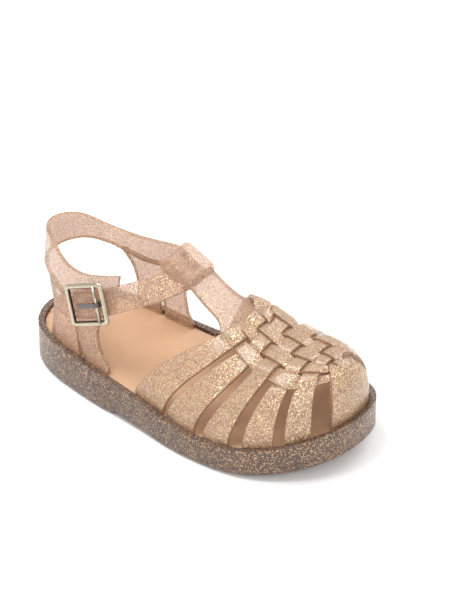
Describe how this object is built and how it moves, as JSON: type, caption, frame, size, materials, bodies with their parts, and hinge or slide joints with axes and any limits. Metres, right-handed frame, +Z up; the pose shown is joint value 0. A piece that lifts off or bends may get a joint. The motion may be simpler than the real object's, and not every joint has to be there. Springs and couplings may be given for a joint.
{
  "type": "jelly sandal",
  "caption": "Child's jelly sandal, right shoe: moulded fisherman weave upper in translucent glitter plastic, T-strap with loop, buckled ankle strap, open heel and platform sole.",
  "frame": {"origin": "on the floor plane, at the middle of the flat heel bottom (36.4 % of the sole's length), on the line through the back of the heel", "axes": "+X from heel to toe, +Y towards the inner (medial) side of this right shoe so that the buckle is on the -Y side, +Z up; the sole stands on z = 0"},
  "size_m": [0.165, 0.0756, 0.0695],
  "materials": {
    "sole_jelly": "soft plastic crowded with dark gold and silver glitter, satin gloss",
    "insole_plastic": "plain tan, softly matte",
    "upper_jelly": "translucent champagne plastic with fine gold glitter, glossy",
    "buckle_metal": "pale champagne-toned metal, satin with bright edges"
  },
  "bodies": {
    "root": {"outsole": "sole_jelly", "insole": "insole_plastic", "upper": "upper_jelly", "buckle_frame": "buckle_metal", "buckle_prong": "buckle_metal"}
  },
  "joints": []
}
